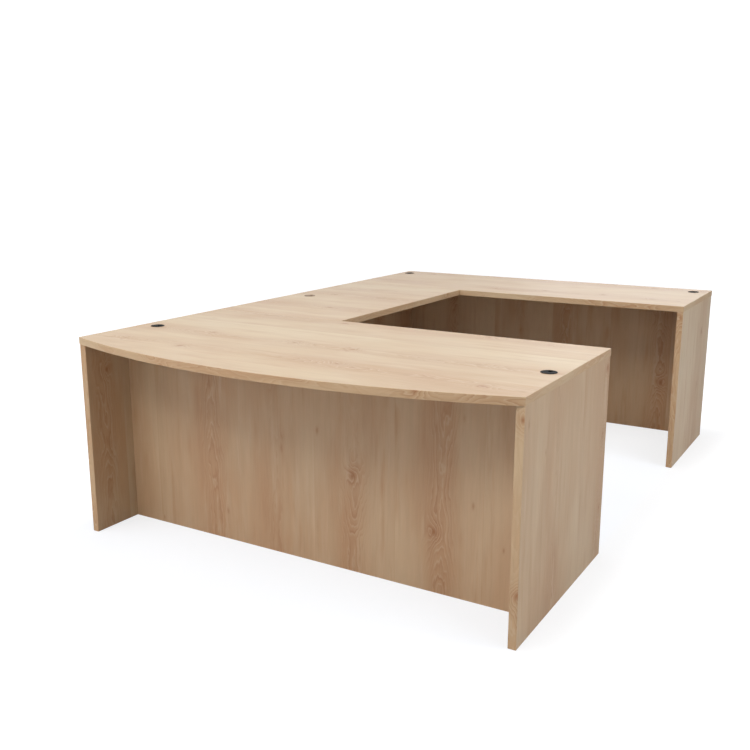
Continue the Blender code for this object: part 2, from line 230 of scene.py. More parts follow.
def figure_group():
    """The printed grain. Along and Across are metres on the sheet, Heart is the distance from the
    middle of the flat-sawn figure, Depth how far that cut passes from the tree's centre, and
    Tone shifts the whole strip from pale to tan and sets how fast its arches climb."""
    graph, entry, leave = new_group(
        "maple_figure",
        ("Along", "Across", "Heart", "Depth", "Tone"),
        (("Color", "NodeSocketColor"), ("Height", "NodeSocketFloat")),
    )
    along, across, heart, depth, tone = (entry[i] for i in range(5))

    def stretched(per_metre_along, per_metre_across, layer):
        return graph.vector(graph.times(along, per_metre_along), graph.times(across, per_metre_across), layer)

    knot_here, knot_distance, knot_random = knot_field(graph, along, heart)
    knot_bump = graph.times(knot_here, graph.bell(knot_distance, KNOT_REACH), 3.6)
    dark_line, pale_line = ring_lines(graph, along, across, heart, depth, tone, knot_bump)

    # Where the rings show: down the heart in drifts, round the knots, and hardly elsewhere
    drift = graph.smooth(graph.noise(stretched(1.9, 5.0, 4.5), 1.5), 0.38, 0.62)
    along_heart = graph.times(graph.bell(heart, HEART_REACH), graph.plus(0.25, graph.times(drift, 0.60)))
    round_knot = graph.times(knot_here, graph.bell(knot_distance, KNOT_REACH), 0.60)
    shown = graph.plus(along_heart, round_knot, graph.times(drift, 0.06))

    # Colour drifts: tan round the heart, rosy and pale streaks, fibres at three scales, fine pores
    broad = graph.smooth(graph.noise(stretched(1.4, 6.0, 5.5), 3.0, 0.6), 0.36, 0.66)
    by_heart = graph.times(graph.bell(heart, 2.0 * HEART_REACH), graph.plus(0.35, graph.times(drift, 0.65)))
    rosy = graph.smooth(graph.noise(stretched(3.0, 34.0, 6.5), 3.0, 0.6), 0.52, 0.78)
    pale = graph.smooth(graph.noise(stretched(2.4, 28.0, 11.5), 3.0, 0.6), 0.54, 0.80)
    coarse = graph.noise(stretched(5.0, 70.0, 7.5), 3.0, 0.6)
    fibre = graph.noise(stretched(9.0, 190.0, 8.5), 3.0, 0.62)
    pore = graph.noise(stretched(30.0, 900.0, 9.5), 2.0, 0.6)

    # Reddish flecks: long soft ones, and small dark ones like pin knots
    soft_fleck = fleck_field(graph, stretched(6.0, 24.0, 10.5), 0.20, 0.14, 0.18)
    pin_knot = fleck_field(graph, stretched(11.0, 26.0, 12.5), 0.07, 0.06, 0.11)
    knot_size = graph.plus(0.005, graph.times(knot_random[2], 0.007))
    knot_core = graph.times(knot_here, graph.bell(graph.math("DIVIDE", knot_distance, knot_size), 0.85))
    knot_halo = graph.times(knot_here, graph.bell(knot_distance, 0.022))

    tan = graph.plus(graph.times(broad, 0.50), graph.times(tone, 0.20), graph.times(by_heart, 0.75))
    colour = graph.mix(tan, PALE_MAPLE, TAN_MAPLE)
    colour = graph.mix(graph.times(pale, 0.65), colour, WHITISH_STREAK)
    flecked = graph.plus(graph.times(soft_fleck, 0.40), graph.times(knot_halo, 0.50))
    colour = graph.mix(graph.plus(graph.times(rosy, 0.54), flecked), colour, ROSY_STREAK)
    colour = graph.mix(graph.times(pale_line, shown, 0.50), colour, WHITISH_STREAK)
    colour = graph.mix(graph.times(dark_line, shown, 0.64), colour, RING_LINE)
    browned = graph.plus(graph.times(knot_core, 0.75), graph.times(pin_knot, 0.50))
    colour = graph.mix(browned, colour, KNOT_BROWN)
    shade = graph.plus(0.83, graph.times(coarse, 0.14), graph.times(fibre, 0.14), graph.times(pore, 0.06))
    colour = graph.mix(1.0, colour, graph.grey(shade), "MULTIPLY")
    graph.feed(leave["Color"], colour)
    relief = graph.times(dark_line, shown, -0.4)
    graph.feed(leave["Height"], graph.plus(graph.times(pore, 0.6), graph.times(fibre, 0.3), relief))
    return graph.tree


def plank_group(figure):
    """Boards of laminate: the figure drawn in planks of uneven width, each cut from its own log."""
    graph, entry, leave = new_group(
        "maple_planks",
        ("Along", "Across"),
        (("Color", "NodeSocketColor"), ("Height", "NodeSocketFloat")),
    )
    along, across = entry[0], entry[1]
    planks = {"W": across, "Scale": PLANKS_PER_METRE, "Randomness": 0.7}
    plank = graph.add("TexVoronoi", planks, voronoi_dimensions="1D")
    edge = graph.add("TexVoronoi", planks, voronoi_dimensions="1D", feature="DISTANCE_TO_EDGE")
    random = graph.random_of(plank)
    own_along = graph.plus(along, graph.times(random[0], 23.0))
    slow = graph.vector(graph.times(own_along, 1.3), graph.times(random[1], 17.0), 0.5)
    meander = graph.times(graph.plus(graph.noise(slow, 1.0), -0.5), 0.06)
    offset = graph.times(graph.plus(random[1], -0.5), 0.12)
    heart = graph.plus(across, graph.times(plank.outputs["W"], -1.0), offset, meander)
    inputs = {
        "Along": own_along,
        "Across": across,
        "Heart": heart,
        "Depth": graph.plus(0.012, graph.times(random[0], 0.020)),
        "Tone": random[2],
    }
    drawn = graph.add("Group", node_tree=figure)
    for label, value in inputs.items():
        graph.feed(drawn.inputs[label], value)
    seam = graph.math("SUBTRACT", 1.0, graph.smooth(edge.outputs["Distance"], 0.0, 0.006))
    graph.feed(leave["Color"], graph.mix(graph.times(seam, 0.16), drawn.outputs["Color"], RING_LINE))
    graph.feed(leave["Height"], drawn.outputs["Height"])
    return graph.tree


def new_material(name):
    """A material, the graph of its nodes, and its shader."""
    material = bpy.data.materials.new(name)
    material.use_nodes = True
    graph = Graph(material.node_tree)
    return material, graph, material.node_tree.nodes["Principled BSDF"]


def add_bump(graph, shader, height, distance):
    """Relief on a shader: height from 0 to 1 stands for that distance in metres."""
    bump = graph.add("Bump", {"Height": height, "Distance": distance})
    graph.feed(shader.inputs["Normal"], bump.outputs[0])


def board_laminate(name, grain, across, face, seed, light_tint, raw_below):
    """Laminate on a board: grain, across and face are the axis letters of its grain, its width and
    its faces' normal. The two faces show different parts of the sheet, and light_tint is a colour
    factor fitted to how light or dark the board should look under the scene's lamps: painted light
    and shade. A board with raw_below shows its particleboard core on its unbanded lower edge."""
    material, graph, shader = new_material(name)
    place = dict(zip("XYZ", graph.parts(graph.add("TexCoord").outputs["Object"])))
    normal = dict(zip("XYZ", graph.parts(graph.add("NewGeometry").outputs["Normal"])))
    along = graph.plus(place[grain], seed * 2.7, graph.times(normal[face], 1.9))
    drawn = graph.add("Group", node_tree=PLANKS)
    graph.feed(drawn.inputs["Along"], along)
    graph.feed(drawn.inputs["Across"], graph.plus(place[across], seed * 1.31))
    # Painted light and shade: the board's tint brightens or darkens its print to its lit colour.
    colour = graph.mix(1.0, drawn.outputs["Color"], light_tint, "MULTIPLY")
    if raw_below:
        downward = graph.smooth(graph.times(normal["Z"], -1.0), 0.6, 0.8)
        colour = graph.mix(downward, colour, particleboard(graph, place))
    graph.feed(shader.inputs["Base Color"], colour)
    haze = graph.noise(graph.scaled(place.values(), 6.0), 3.0)
    roughness = graph.plus(0.36, graph.times(haze, 0.12), graph.times(drawn.outputs["Height"], 0.04))
    graph.feed(shader.inputs["Roughness"], roughness)
    add_bump(graph, shader, drawn.outputs["Height"], 0.12 * MM)
    return material


def particleboard(graph, place):
    """Pressed wood chips, as seen on a sawn edge."""
    chips = graph.cells(graph.scaled(place.values(), 420.0))[1]
    return graph.mix(chips[0], CORE_LIGHT, CORE_DARK)


def band_laminate(name, grain, across, middle, seed):
    """Edge band: painted lighter than the boards to stand in for the extra light on its faces, its grain
    runs along it, a wandering heart now and then crosses it, and its two rounded outer edges are
    rubbed a little paler."""
    material, graph, shader = new_material(name)
    place = dict(zip("XYZ", graph.parts(graph.add("TexCoord").outputs["Object"])))
    along = graph.plus(place[grain], seed * 3.3)
    off_middle = graph.plus(place[across], -middle)
    wander = graph.noise(graph.vector(graph.times(along, 3.0), seed * 1.7, 0.0), 1.0)
    drawn = graph.add("Group", node_tree=FIGURE)
    inputs = {
        "Along": along,
        "Across": graph.plus(off_middle, seed * 0.9),
        "Heart": graph.plus(off_middle, graph.times(graph.plus(wander, -0.5), 0.22)),
        "Depth": 0.016,
        "Tone": 0.30,
    }
    for label, value in inputs.items():
        graph.feed(drawn.inputs[label], value)
    from_middle = graph.math("ABSOLUTE", off_middle)
    rubbed = graph.smooth(from_middle, BAND_HALF - 1.1 * MM, BAND_HALF - 0.2 * MM)
    patches = graph.noise(graph.vector(graph.times(along, 9.0), 0.0, seed), 3.0)
    wear = graph.times(rubbed, graph.plus(0.12, graph.times(patches, 0.30)))
    # Painted light: the band tint lightens the print to stand in for the light on the band's faces.
    colour = graph.mix(1.0, drawn.outputs["Color"], BAND_LIGHT_TINT, "MULTIPLY")
    graph.feed(shader.inputs["Base Color"], graph.mix(wear, colour, WHITISH_STREAK))
    roughness = graph.plus(0.46, graph.times(drawn.outputs["Height"], 0.05), graph.times(wear, -0.2))
    graph.feed(shader.inputs["Roughness"], roughness)
    add_bump(graph, shader, drawn.outputs["Height"], 0.1 * MM)
    return material


def moulded_plastic(name, colour, roughness, grain_per_metre, bump, gloss=0.5):
    """Matt plastic with a fine spark-eroded grain, faint handling marks and dust."""
    material, graph, shader = new_material(name)
    place = graph.parts(graph.add("TexCoord").outputs["Object"])
    fine = graph.noise(graph.scaled(place, grain_per_metre), 2.0)
    smear = graph.noise(graph.scaled(place, 60.0), 4.0, 0.65)
    dust = graph.times(graph.smooth(smear, 0.45, 0.75), 0.16)
    dusty = tuple(1.6 * part + 0.02 for part in colour)
    graph.feed(shader.inputs["Base Color"], graph.mix(dust, colour, dusty))
    graph.feed(shader.inputs["Roughness"], graph.plus(roughness, graph.times(smear, 0.18)))
    shader.inputs["Specular IOR Level"].default_value = gloss
    add_bump(graph, shader, fine, bump)
    return material


def zinc_plate(name):
    """Bright zinc plate: rolled streaks and a faint spangle."""
    material, graph, shader = new_material(name)
    place = graph.parts(graph.add("TexCoord").outputs["Object"])
    streaks = graph.vector(*(graph.times(axis, scale) for axis, scale in zip(place, (900.0, 40.0, 900.0))))
    rolled = graph.noise(streaks, 2.0)
    spot = graph.cells(graph.scaled(place, 180.0))[1][0]
    graph.feed(shader.inputs["Base Color"], graph.mix(spot, (0.55, 0.56, 0.58), (0.68, 0.69, 0.70)))
    roughness = graph.plus(0.24, graph.times(rolled, 0.14), graph.times(spot, 0.08))
    graph.feed(shader.inputs["Roughness"], roughness)
    shader.inputs["Metallic"].default_value = 1.0
    add_bump(graph, shader, rolled, 0.03 * MM)
    return material


def pale_floor():
    """A white floor that clips to white in the open, with soft shadows round the object's foot: partly
    cast by the lamps, partly painted shade where ambient occlusion dims its glow. It is a little bluer
    left of the right-hand panels, which evens out the warm light that falls there."""
    material, graph, shader = new_material("pale_floor")
    place = graph.add("TexCoord").outputs["Object"]
    x, y = graph.parts(place)[0:2]
    mottle = graph.noise(place, 3.0)
    under_warm = graph.mix(mottle, (0.245, 0.278, 0.343), (0.255, 0.288, 0.353))
    under_cool = graph.mix(mottle, (0.245, 0.255, 0.281), (0.255, 0.265, 0.291))
    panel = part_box("desk_end_panel_right")
    rightward = graph.smooth(x, panel[0].x, panel[1].x)
    graph.feed(shader.inputs["Base Color"], graph.mix(rightward, under_warm, under_cool))
    shader.inputs["Roughness"].default_value = 0.9
    shader.inputs["Specular IOR Level"].default_value = 0.0
    shader.inputs["Emission Color"].default_value = (1.0, 1.0, 1.0, 1.0)
    beside = graph.plus(graph.math("ABSOLUTE", x), -CAD_BOX[1].x)
    beyond = graph.plus(graph.math("ABSOLUTE", y), -CAD_BOX[1].y)
    open_floor = graph.smooth(graph.math("MAXIMUM", beside, beyond), 0.03, 0.32)
    unhidden = graph.add("AmbientOcclusion", {"Distance": 0.30}, samples=8).outputs["AO"]
    # Painted shadow: the glow is dimmed where ambient occlusion finds the object close by.
    painted_contact_shadow = graph.times(graph.plus(1.0, graph.times(unhidden, -1.0)), -0.13)
    graph.feed(shader.inputs["Emission Strength"], graph.plus(0.812, graph.times(open_floor, 0.22), painted_contact_shadow))
    return material


def white_glow(name, strength):
    """A surface that shines, a little cool, and reflects nothing."""
    material, _, shader = new_material(name)
    shader.inputs["Base Color"].default_value = (0.0, 0.0, 0.0, 1.0)
    shader.inputs["Specular IOR Level"].default_value = 0.0
    shader.inputs["Emission Color"].default_value = (0.93, 1.0, 1.0, 1.0)
    shader.inputs["Emission Strength"].default_value = strength
    return material


def set_material(obj, material):
    obj.data.materials.clear()
    obj.data.materials.append(material)


# ---------------------------------------------------------------- mesh helpers


def add_loft(mesh, rings, hollow=False):
    """Skin a row of equal rings. Its ends are capped, or a hollow one joins its last ring to its first."""
    rows = [[mesh.verts.new(point) for point in ring] for ring in rings]
    following = rows[1:] + rows[:1] if hollow else rows[1:]
    for low, high in zip(rows, following):
        for first in range(len(low)):
            second = (first + 1) % len(low)
            mesh.faces.new((low[first], low[second], high[second], high[first]))
    if not hollow:
        mesh.faces.new(tuple(reversed(rows[0])))
        mesh.faces.new(rows[-1])


def smoothed(data):
    """Smooth shading everywhere but over sharp edges."""
    data.shade_smooth()
    data.set_sharp_from_angle(angle=math.radians(SHARP_ANGLE))
    return data


def mesh_from(name, lofts, hollow=False):
    """One mesh made of lofts, each a row of rings."""
    mesh = bmesh.new()
    for rings in lofts:
        add_loft(mesh, rings, hollow)
    bmesh.ops.recalc_face_normals(mesh, faces=mesh.faces)
    data = bpy.data.meshes.new(name)
    mesh.to_mesh(data)
    mesh.free()
    return smoothed(data)


def circle(radius, height, segments):
    """A level ring of points."""
    turns = [2 * math.pi * step / segments for step in range(segments)]
    return [Vector((radius * math.cos(turn), radius * math.sin(turn), height)) for turn in turns]


def turned(profile, segments):
    """The rings of a lathe turning of that profile."""
    return [circle(radius, height, segments) for radius, height in profile]


def rounded(corner, start, end, radius, steps=4):
    """Points of a fillet of that radius at a right-angled corner, from the start side to the end side."""
    corner, start, end = Vector(corner), Vector(start), Vector(end)
    into = (start - corner).normalized() * radius
    out = (end - corner).normalized() * radius
    centre = corner + into + out
    points = []
    for step in range(steps + 1):
        turn = math.pi / 2 * step / steps
        points.append(tuple(centre - out * math.cos(turn) - into * math.sin(turn)))
    return points


def show(name, data, material, body=ROOT, at=(0.0, 0.0, 0.0), turn=None, replaces=()):
    """Place a mesh as a piece of the object that rides on a body."""
    piece = bpy.data.objects.new(name, data)
    bpy.context.scene.collection.objects.link(piece)
    if turn:
        piece.rotation_euler = turn
    piece.location = at
    if not data.materials:
        data.materials.append(material)
    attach(piece, body)
    if replaces:
        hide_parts(*replaces)
    return piece


def baked(name, data, cutters):
    """The mesh left when the cutter meshes are taken out of data."""
    block = bpy.data.objects.new(name, data)
    bpy.context.scene.collection.objects.link(block)
    tools = []
    for number, cutter in enumerate(cutters):
        tool = bpy.data.objects.new(f"{name}_tool_{number}", cutter)
        bpy.context.scene.collection.objects.link(tool)
        boolean = block.modifiers.new(tool.name, "BOOLEAN")
        boolean.operation = "DIFFERENCE"
        boolean.object = tool
        tools.append(tool)
    bpy.context.view_layer.update()
    evaluated = block.evaluated_get(bpy.context.evaluated_depsgraph_get())
    result = bpy.data.meshes.new_from_object(evaluated)
    for old in (block, *tools):
        bpy.data.objects.remove(old)
    result.name = name
    return smoothed(result)


def centre_of(node):
    """The middle of a CAD node's box."""
    low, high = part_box(node)
    return (low + high) / 2


# ---------------------------------------------------------------- grommets

GROMMET_SEGMENTS = 96
TUBE_RADIUS = 23.0 * MM
BORE_RADIUS = 20.9 * MM
BLACK_GROMMETS = (
    "desk_grommet_left",
    "desk_grommet_right",
    "credenza_grommet_left",
    "credenza_grommet_right",
)
TAUPE_GROMMETS = ("bridge_grommet",)


def sleeve_mesh(flange, bore, tube, length, top):
    """The flanged sleeve: a softly rounded flange with a step inside it that seats the cap."""
    seat = bore + MM
    profile = [(bore, -length), (tube, -length), (tube, 0.3 * MM), (flange - 0.4 * MM, 0.3 * MM)]
    profile += rounded((flange, 0.3 * MM), (flange - MM, 0.3 * MM), (flange, MM), 0.3 * MM)
    profile += rounded((flange, top), (flange, 0.0), (0.0, top), 1.1 * MM, 6)
    profile += rounded((seat, top), (flange, top), (seat, 0.0), 0.25 * MM)
    profile += [(seat, -0.9 * MM), (bore, -0.9 * MM)]
    return mesh_from("grommet_sleeve", [turned(profile, GROMMET_SEGMENTS)], hollow=True)


def cap_mesh(radius, bottom, top):
    """The cap: a shallow dished face inside a raised rim, a skirt below, and the cable slot."""
    seat = -0.6 * MM
    outer_skirt, inner_skirt = radius - 1.0 * MM, radius - 2.6 * MM
    profile = [(2.0 * MM, top - 0.9 * MM), (9.0 * MM, top - 0.8 * MM), (15.5 * MM, top - 0.62 * MM)]
    profile += [(16.3 * MM, top - 0.55 * MM), (16.9 * MM, top - 0.2 * MM), (17.6 * MM, top)]
    profile += rounded((radius, top), (0.0, top), (radius, seat), 0.45 * MM)
    profile += [(radius, seat), (outer_skirt, seat), (outer_skirt, bottom), (inner_skirt, bottom)]
    profile += [(inner_skirt, seat)]
    disc = mesh_from("grommet_cap", [turned(profile, GROMMET_SEGMENTS)])
    return baked("grommet_cap", disc, [slot_cutter(radius, bottom, top)])


def slot_cutter(radius, bottom, top):
    """Open at the rim towards +Y, with a round inner end and a flare at the mouth."""
    half, reach, mouth = 6.5 * MM, 9.0 * MM, 8.0 * MM
    clear, flare, steps = 5.0 * MM, 2.0 * MM, 24
    outline = [(mouth, radius + clear), (-mouth, radius + clear), (-mouth, radius), (-half, radius - flare)]
    for step in range(steps + 1):
        turn = math.pi * (1 + step / steps)
        outline.append((half * math.cos(turn), reach + half * math.sin(turn)))
    outline += [(half, radius - flare), (mouth, radius)]
    rings = [[(x, y, z) for x, y in outline] for z in (bottom - clear, top + clear)]
    return mesh_from("slot_cutter", [rings])


def dress_grommets(black, taupe):
    """A sleeve and a cap moulding for each grommet: taupe in the bridge, black in the other tops."""
    sleeve_low, sleeve_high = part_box(BLACK_GROMMETS[0] + "_sleeve")
    cap_low, cap_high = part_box(BLACK_GROMMETS[0] + "_cap")
    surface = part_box("desk_top")[1].z
    flange = (sleeve_high.x - sleeve_low.x) / 2
    depth, height = surface - sleeve_low.z, sleeve_high.z - surface
    cap_radius = (cap_high.x - cap_low.x) / 2
    kinds = (("black_plastic", black, BLACK_GROMMETS), ("taupe_plastic", taupe, TAUPE_GROMMETS))
    for slot, plastic, names in kinds:
        sleeve = sleeve_mesh(flange, BORE_RADIUS, TUBE_RADIUS, depth, height)
        cap = cap_mesh(cap_radius, cap_low.z - surface, cap_high.z - surface)
        for name in names:
            low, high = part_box(name + "_sleeve")
            at = ((low.x + high.x) / 2, (low.y + high.y) / 2, surface)
            show(name + "_sleeve_moulding", sleeve, plastic, ROOT, at, replaces=(name + "_sleeve",))
            show(name + "_cap_moulding", cap, plastic, name + "_cap", at, replaces=(name + "_cap",))


# ---------------------------------------------------------------- glides

GLIDES = [
    f"{shell}_glide_{side}_{end}"
    for shell in ("desk", "credenza")
    for side in ("left", "right")
    for end in ("front", "rear")
]
THREAD_PITCH = 1.25 * MM
THREAD_DEPTH = 0.62 * MM


def pad_mesh(radius, height):
    """The foot pad: rounded, with a shallow hollow underneath and a socket for the stem."""
    edge = 1.2 * MM
    profile = [(3.0 * MM, 0.5 * MM), (6.0 * MM, 0.5 * MM), (6.8 * MM, 0.05 * MM), (radius - edge, 0.0)]
    profile += rounded((radius, 0.0), (0.0, 0.0), (radius, height), edge, 5)
    profile += rounded((radius, height), (radius, 0.0), (0.0, height), edge, 5)
    profile += [(5.6 * MM, height), (4.4 * MM, height - 0.5 * MM), (4.4 * MM, 2.0 * MM)]
    return mesh_from("glide_pad", [turned(profile, 48)])


def thread_ring(radius, height, segments):
    """One ring of a screw thread: its radius rises and falls once round, at the thread's pitch."""
    ring = []
    for step in range(segments):
        share = step / segments
        flank = abs(((height / THREAD_PITCH - share) % 1.0) * 2 - 1)
        reach = radius - THREAD_DEPTH * flank
        turn = 2 * math.pi * share
        ring.append(Vector((reach * math.cos(turn), reach * math.sin(turn), height)))
    return ring


def hexagon(apothem, height, segments):
    """A hexagon of evenly turned points, so that it can be lofted to a circle."""
    ring = []
    for step in range(segments):
        turn = 2 * math.pi * step / segments
        off_flat = (turn + math.pi / 6) % (math.pi / 3) - math.pi / 6
        reach = apothem / math.cos(off_flat)
        ring.append(Vector((reach * math.cos(turn), reach * math.sin(turn), height)))
    return ring


def stem_mesh(low, top):
    """The stem: a plain neck in the pad's socket, a chamfered hexagonal collar and a threaded rod."""
    radius, collar, collar_low, collar_high = 4.0 * MM, 6.5 * MM, 5.5 * MM, 8.5 * MM
    chamfer, segments = 0.4 * MM, 24
    root = radius - THREAD_DEPTH
    neck = [(radius - chamfer, low), (radius, low + chamfer), (radius, collar_low)]
    rings = turned([*neck, (collar - chamfer, collar_low)], segments)
    rings += [hexagon(collar, height, segments) for height in (collar_low + chamfer, collar_high - chamfer)]
    rings += turned([(collar - chamfer, collar_high), (root, collar_high)], segments)
    height = collar_high + THREAD_PITCH
    while height < top - THREAD_PITCH:
        rings.append(thread_ring(radius, height, segments))
        height += THREAD_PITCH / 4
    rings += turned([(root, top - 0.6 * MM), (radius - 1.4 * MM, top)], segments)
    return mesh_from("glide_stem", [rings])


def dress_glides(nylon, zinc):
    """A foot on each pad's body and a threaded stem on each stem's body."""
    pad_low, pad_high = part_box(GLIDES[0] + "_pad")
    stem_low, stem_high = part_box(GLIDES[0] + "_stem")
    base = pad_low.z
    pad = pad_mesh((pad_high.x - pad_low.x) / 2, pad_high.z - base)
    stem = stem_mesh(stem_low.z - base, stem_high.z - base)
    for name in GLIDES:
        low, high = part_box(name + "_stem")
        at = ((low.x + high.x) / 2, (low.y + high.y) / 2, base)
        show(name + "_foot", pad, nylon, name + "_pad", at, replaces=(name + "_pad",))
        show(name + "_screw", stem, zinc, name + "_stem", at, replaces=(name + "_stem",))


# ---------------------------------------------------------------- fixings

PLATE_SCREWS = (-48.0 * MM, -20.0 * MM, 20.0 * MM, 48.0 * MM)  # from the middle of a seam plate
BRACKET_SHARES = (-0.35, 0.0, 0.35)  # places along a cross panel, in shares of its length from its middle
BRACKET_GAP = 0.2 * MM  # between a bracket and its panel
BRACKET_SCREW_SHARE = 0.62  # how far along a bracket's leg its screw sits
COVER_SHARES = (0.14, 0.5, 0.86)  # places between a cross panel and the user's edge of the end panels
COVER_BELOW_TOP = 34.0 * MM
SEAM_GAP = 0.3 * MM  # between neighbouring boards, as in the CAD


def screw_mesh(radius, height):
    """A truss-head screw's head, its crown pointing along -Z, with a cross recess."""
    steps = 8
    turns = [math.pi / 2 * step / steps for step in range(1, steps + 1)]
    crown = [(radius * math.sin(turn), -height * math.cos(turn)) for turn in turns]
    head = mesh_from("screw_head", [turned([*crown, (radius * 0.98, 0.2 * MM)], 32)])
    long, short, deep = radius * 0.52, radius * 0.13, height * 0.55
    cutters = []
    for half_x, half_y in ((long, short), (short, long)):
        outer = [(-half_x, -half_y), (half_x, -half_y), (half_x, half_y), (-half_x, half_y)]
        inner = [(x * 0.6, y * 0.6) for x, y in outer]
        rings = [[(x, y, z) for x, y in outer] for z in (-height - MM, -height)]
        rings.append([(x, y, -height + deep) for x, y in inner])
        cutters.append(mesh_from("recess", [rings]))
    return baked("screw_head", head, cutters)


def dress_plates(screw, zinc):
    """The zinc finish of each seam plate, and four screws through it."""
    for shell in ("desk", "credenza"):
        for row in ("outer", "inner"):
            plate = f"{shell}_seam_plate_{row}"
            set_material(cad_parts[plate], zinc)
            low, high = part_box(plate)
            middle = (low + high) / 2
            for number, spacing in enumerate(PLATE_SCREWS, 1):
                at = (middle.x, middle.y + spacing, low.z)
                show(f"{plate}_screw_{number}", screw, zinc, at=at)


def bracket_mesh(leg, width, thickness):
    """A steel corner bracket: one leg against the top, one down the panel, with a rounded bend and
    rounded corners at the two tips."""
    bend = 1.5 * MM
    outline = [(0.0, 0.0), (leg, 0.0), (leg, -thickness), (thickness + bend, -thickness)]
    outline += [(thickness + bend / 3, -thickness - bend / 3), (thickness, -thickness - bend)]
    outline += [(thickness, -leg), (0.0, -leg)]
    data = mesh_from("corner_bracket", [[[(x, y, z) for x, z in outline] for y in (-width / 2, width / 2)]])
    mesh = bmesh.new()
    mesh.from_mesh(data)
    tips = {vert for vert in mesh.verts if max(vert.co.x, -vert.co.z) > 0.99 * leg}
    tip_edges = [edge for edge in mesh.edges if tips.issuperset(edge.verts)]
    corners = [edge for edge in tip_edges if edge.calc_length() < 2 * thickness]
    bmesh.ops.bevel(mesh, geom=corners, offset=4.0 * MM, segments=5, affect="EDGES", profile=0.5)
    mesh.to_mesh(data)
    mesh.free()
    return smoothed(data)


def dress_brackets(screw, zinc):
    """Corner brackets between each cross panel and the top above it, with two screws each."""
    leg, width, thickness = 38.0 * MM, 22.0 * MM, 2.0 * MM
    bracket = bracket_mesh(leg, width, thickness)
    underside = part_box("desk_top")[0].z - SEAM_GAP
    desk, credenza, bridge = (
        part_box(name) for name in ("desk_modesty_panel", "credenza_back_panel", "bridge_modesty_panel")
    )
    middle = (bridge[0].y + bridge[1].y) / 2
    rows = []
    for share in BRACKET_SHARES:
        x = share * (desk[1].x - desk[0].x)
        rows.append(("desk_modesty_bracket", (x, desk[1].y + BRACKET_GAP), math.pi / 2))
    for share in BRACKET_SHARES:
        x = share * (credenza[1].x - credenza[0].x)
        rows.append(("credenza_back_bracket", (x, credenza[0].y - BRACKET_GAP), -math.pi / 2))
    for share in BRACKET_SHARES:
        y = middle + share * (bridge[1].y - bridge[0].y)
        rows.append(("bridge_modesty_bracket", (bridge[1].x + BRACKET_GAP, y), 0.0))
    for number, (name, (x, y), heading) in enumerate(rows):
        label = f"{name}_{number % len(BRACKET_SHARES) + 1}"
        corner = Vector((x, y, underside))
        show(label, bracket, zinc, at=corner, turn=(0.0, 0.0, heading))
        turned_by = Matrix.Rotation(heading, 4, "Z")
        up = corner + turned_by @ Vector((leg * BRACKET_SCREW_SHARE, 0.0, -thickness))
        show(f"{label}_top_screw", screw, zinc, at=up)
        side = corner + turned_by @ Vector((thickness, 0.0, -leg * BRACKET_SCREW_SHARE))
        show(f"{label}_side_screw", screw, zinc, at=side, turn=(0.0, -math.pi / 2, heading))


def cover_mesh(radius, thickness):
    """A press-in cover for a cam fitting, its crown pointing along -Z."""
    profile = [(2.0 * MM, -thickness), (radius * 0.6, -thickness), (radius * 0.86, -thickness * 0.9)]
    profile += rounded((radius, -thickness * 0.8), (0.0, -thickness * 0.8), (radius, 0.0), 0.5 * MM)
    profile += [(radius, 0.0), (radius - MM, 0.3 * MM)]
    return mesh_from("cam_cover", [turned(profile, 40)])


def dress_cams(material):
    """Cam covers on the inner faces of the end panels, on the user's side of each cross panel."""
    cover = cover_mesh(radius=8.5 * MM, thickness=1.0 * MM)
    spans = {
        "desk": (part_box("desk_modesty_panel")[1].y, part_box("desk_end_panel_left")[1].y),
        "credenza": (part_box("credenza_end_panel_left")[0].y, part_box("credenza_back_panel")[0].y),
    }
    for shell, (front, rear) in spans.items():
        for side, facing in (("left", 1), ("right", -1)):
            low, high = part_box(f"{shell}_end_panel_{side}")
            x = high.x if facing > 0 else low.x
            for number, share in enumerate(COVER_SHARES, 1):
                at = (x + facing * SEAM_GAP, front + share * (rear - front), high.z - COVER_BELOW_TOP)
                turn = (0.0, -facing * math.pi / 2, 0.0)
                show(f"{shell}_{side}_cam_cover_{number}", cover, material, at=at, turn=turn)


# ---------------------------------------------------------------- laminate on the CAD boards


# Which part of the printed sheet each board shows
BOARD_SEEDS = {
    "desk_top": 3,
    "bridge_top": 2,
    "credenza_top": 5,
    "desk_end_panel_left": 31,
    "desk_end_panel_right": 30,
    "credenza_end_panel_left": 36,
    "credenza_end_panel_right": 39,
    "desk_modesty_panel": 47,
    "credenza_back_panel": 44,
    "bridge_modesty_panel": 45,
}

# Painted light and shade: a colour factor for each board, where it has one, fitted so that the board
# comes out as light, dark and cool as it should look under this scene's lamps. The tops' factors
# shift each top to its lit colour, the desk's left panel is darkened for the shade in the recess,
# and the credenza's right panel is lightened and cooled for the light on its outer face.
BOARD_LIGHT_TINTS = {
    "desk_top": (1.0, 1.05, 1.055),
    "bridge_top": (1.0, 1.025, 1.02),
    "credenza_top": (0.98, 0.97, 0.95),
    "desk_end_panel_left": (0.86, 0.91, 0.94),
    "credenza_end_panel_right": (1.08, 1.14, 1.22),
}
PLAIN_TINT = (1.0, 1.0, 1.0)


def dress_board(name, grain, across, face, raw_below):
    """One board, in its own part of the sheet and its own painted light and shade tint."""
    light_tint = BOARD_LIGHT_TINTS.get(name, PLAIN_TINT)
    look = board_laminate(f"{name}_maple", grain, across, face, BOARD_SEEDS[name], light_tint, raw_below)
    set_material(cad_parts[name], look)


def dress_band(board, side, grain, across):
    """One edge band. Its place in the middle of its board's edge and its own figure follow its name."""
    name = f"{board}_band_{side}"
    middle = getattr(centre_of(name), across.lower())
    seed = 3 * BOARD_SEEDS[board] + ("front", "rear", "left", "right").index(side)
    set_material(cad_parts[name], band_laminate(f"{name}_maple", grain, across, middle, seed))


